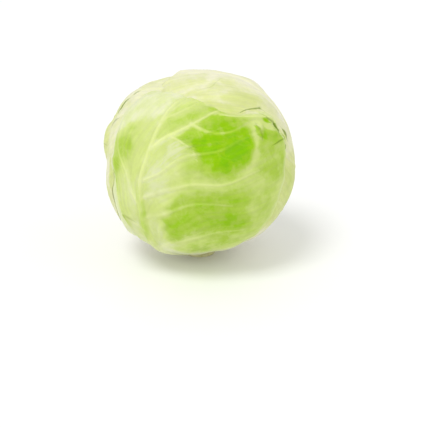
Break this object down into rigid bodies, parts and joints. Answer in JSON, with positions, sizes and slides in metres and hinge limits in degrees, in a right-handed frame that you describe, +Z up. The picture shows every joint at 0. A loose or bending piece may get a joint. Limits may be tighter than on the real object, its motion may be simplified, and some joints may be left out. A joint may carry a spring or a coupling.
{
  "type": "cabbage head",
  "caption": "Whole round white cabbage head: a dense heart wrapped in overlapping ribbed and veined leaves, standing on a short cut stem.",
  "frame": {"origin": "the middle of the cut stem's flat foot, on the surface the head stands on", "axes": "+Z up the head's axis from stem to crown, -Y towards the large green outer leaf, +X to its right"},
  "size_m": [0.1706, 0.1713, 0.1699],
  "materials": {
    "stem": "cut, fibrous, matt",
    "heart_leaf": "smooth, waxy",
    "inner_leaf": "waxy, semi-matt",
    "pale_leaf": "waxy, semi-matt",
    "green_leaf": "waxy, semi-matt"
  },
  "bodies": {
    "root": {"stem_stub": "stem", "heart": "heart_leaf", "wrapper_leaf_1": "inner_leaf", "wrapper_leaf_2": "inner_leaf", "wrapper_leaf_3": "inner_leaf", "wrapper_leaf_4": "pale_leaf", "wrapper_leaf_5": "pale_leaf", "wrapper_leaf_6": "green_leaf"}
  },
  "joints": []
}
